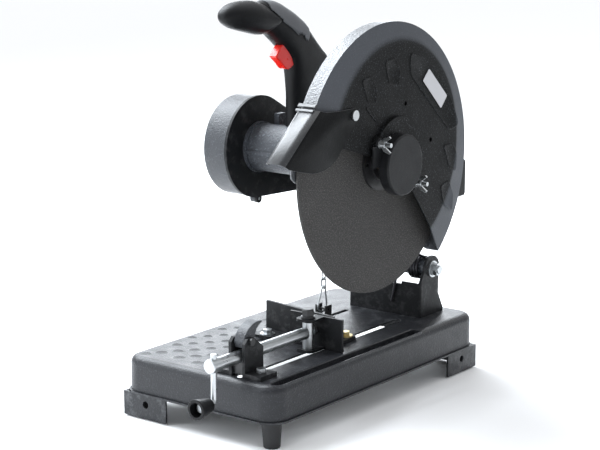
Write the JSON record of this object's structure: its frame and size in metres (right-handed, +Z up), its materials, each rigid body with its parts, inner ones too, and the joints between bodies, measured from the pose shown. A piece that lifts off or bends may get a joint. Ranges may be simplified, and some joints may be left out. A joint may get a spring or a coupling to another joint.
{
  "type": "abrasive chop saw",
  "caption": "Belt-driven abrasive chop saw on a pressed steel base, with a guarded wheel on a hinged arm, pistol-grip handle, crank vise, fence and hold-down chain.",
  "frame": {"origin": "centre of the whole saw's footprint, on the floor the feet stand on", "axes": "+Z up, +Y to the back (pivot and motor side), -Y to the operator, +X to the operator's right (wheel side)"},
  "size_m": [0.3, 0.578, 0.5542],
  "materials": {
    "black_powder_coat": "fine textured black powder coat, satin",
    "base_paint": "dark slate grey-black textured paint, satin",
    "grey_paint": "slate grey hammered paint, satin",
    "zinc": "bright zinc plate",
    "yellow_zinc": "yellow zinc plate",
    "black_steel": "black oxide, satin",
    "spring_steel": "blackened spring wire",
    "bronze": "plain sintered bronze",
    "steel": "machined steel",
    "abrasive": "coarse bonded abrasive, matt",
    "black_plastic": "moulded black plastic, satin",
    "soft_grip": "dark grey soft-touch rubber",
    "red_plastic": "orange-red glossy plastic",
    "rubber": "black rubber",
    "cast": "painted aluminium casting, slate grey",
    "copper_iron": "laminated iron with windings"
  },
  "bodies": {
    "base": {"base_pan": "base_paint", "rubber_feet": "rubber", "corner_bracket_front_left": "base_paint", "corner_bracket_rear_right": "base_paint", "rear_bracket": "black_powder_coat", "base_bolts": "zinc", "base_nuts": "zinc", "pivot_bolt": "zinc", "pivot_nut_and_washers": "zinc", "return_spring": "spring_steel", "vise_bracket_left": "black_powder_coat", "vise_bracket_right": "black_powder_coat", "screw_cradle": "black_steel", "half_nut_pin": "black_steel", "chain_base_eye": "black_steel"},
    "arm": {"pivot_bushings": "bronze", "arm_casting": "cast", "chain_arm_eye": "black_steel", "ball_bearings": "steel", "belt_back_plate": "black_powder_coat", "belt_cover": "grey_paint", "arm_screws": "zinc", "motor_housing": "black_powder_coat", "motor_end_cap": "black_plastic", "brush_caps": "black_plastic", "motor_stator": "copper_iron", "wiring_box": "black_plastic", "cord_gland": "rubber", "handle_left": "black_plastic", "handle_right": "black_plastic", "soft_grip": "soft_grip", "guard_rim": "grey_paint", "guard_face": "black_powder_coat", "hub_cover": "black_powder_coat", "guard_fasteners": "zinc", "drive_belt": "rubber"},
    "wheel": {"spindle": "steel", "spindle_pulley": "steel", "inner_flange": "black_steel", "abrasive_wheel": "abrasive", "outer_flange": "black_steel", "arbor_bolt": "yellow_zinc"},
    "rotor": {"motor_armature": "copper_iron", "motor_pulley": "steel"},
    "deflector": {"spark_deflector": "grey_paint"},
    "trigger_body": {"trigger": "red_plastic"},
    "wing_nut_front_body": {"wing_nut_front": "zinc"},
    "wing_nut_rear_body": {"wing_nut_rear": "zinc"},
    "chain_top": {"chain_upper": "zinc"},
    "chain_bottom": {"chain_lower": "zinc"},
    "fence": {"fence_plate": "black_powder_coat", "fence_bolts": "zinc"},
    "vise_carriage": {"jaw_pivot_sleeve": "zinc", "jaw_cap_bolt": "black_steel"},
    "vise_screw_body": {"vise_screw": "zinc", "screw_end_nut": "zinc", "crank_handle": "zinc"},
    "knob": {"crank_knob": "black_plastic"},
    "jaw": {"jaw_channel": "black_powder_coat"},
    "half_nut": {"half_nut_lever": "black_powder_coat"}
  },
  "joints": [
    {"name": "arm_pivot", "type": "hinge", "parent": "base", "child": "arm", "pos_m": [0.003, 0.208, 0.153], "axis": [1, 0, 0], "range_deg": [0, 24], "stiffness_Nm_per_rad": 60, "springref_deg": -42.97, "deforming": ["return_spring"]},
    {"name": "chain_top_swing", "type": "hinge", "parent": "arm", "child": "chain_top", "pos_m": [-0.034, 0.081, 0.23], "axis": [1, 0, 0], "range_deg": [0, 36.8]},
    {"name": "chain_bottom_swing", "type": "hinge", "parent": "chain_top", "child": "chain_bottom", "pos_m": [-0.034, 0.081, 0.158], "axis": [1, 0, 0], "range_deg": [-113.5, 0]},
    {"name": "wheel_spin", "type": "hinge", "parent": "arm", "child": "wheel", "pos_m": [0.1, 0.021, 0.3405], "axis": [1, 0, 0], "continuous": true},
    {"name": "motor_spin", "type": "hinge", "parent": "arm", "child": "rotor", "pos_m": [-0.017, 0.179, 0.297], "axis": [1, 0, 0], "continuous": true},
    {"name": "deflector_tilt", "type": "hinge", "parent": "arm", "child": "deflector", "pos_m": [0.125, -0.071, 0.416], "axis": [1, 0, 0], "range_deg": [-30, 0]},
    {"name": "trigger_squeeze", "type": "slide", "parent": "arm", "child": "trigger_body", "axis": [0, 0.6111, 0.7915], "range_m": [0, 0.004], "stiffness_N_per_m": 800, "springref_m": -0.002},
    {"name": "wing_nut_front_turn", "type": "hinge", "parent": "arm", "child": "wing_nut_front_body", "pos_m": [0.133, -0.0205, 0.3725], "axis": [1, 0, 0], "continuous": true},
    {"name": "wing_nut_rear_turn", "type": "hinge", "parent": "arm", "child": "wing_nut_rear_body", "pos_m": [0.133, 0.0665, 0.3085], "axis": [1, 0, 0], "continuous": true},
    {"name": "vise_screw_turn", "type": "hinge", "parent": "vise_carriage", "child": "vise_screw_body", "pos_m": [0.041, -0.159, 0.111], "axis": [0, 1, 0], "range_deg": [-8460, 270]},
    {"name": "jaw_travel", "type": "slide", "parent": "base", "child": "vise_carriage", "axis": [0, 1, 0], "range_m": [-0.094, 0.003]},
    {"name": "crank_knob_turn", "type": "hinge", "parent": "vise_screw_body", "child": "knob", "pos_m": [0.041, -0.274, 0.061], "axis": [0, 1, 0], "continuous": true},
    {"name": "jaw_swivel", "type": "hinge", "parent": "vise_carriage", "child": "jaw", "pos_m": [0.041, -0.055, 0.108], "axis": [0, 0, 1], "range_deg": [-12, 0]},
    {"name": "half_nut_lift", "type": "hinge", "parent": "base", "child": "half_nut", "pos_m": [0.041, -0.194, 0.131], "axis": [1, 0, 0], "range_deg": [0, 60]},
    {"name": "fence_slide", "type": "slide", "parent": "base", "child": "fence", "axis": [0, 1, 0], "range_m": [0, 0.07]}
  ],
  "couplings": [
    {"joint": "chain_top_swing", "follows": "arm_pivot", "ratio": 1.533},
    {"joint": "chain_bottom_swing", "follows": "arm_pivot", "ratio": -4.729},
    {"joint": "motor_spin", "follows": "wheel_spin", "ratio": 2.1818},
    {"joint": "jaw_travel", "follows": "vise_screw_turn", "m_per_rad": 0.00063662}
  ]
}
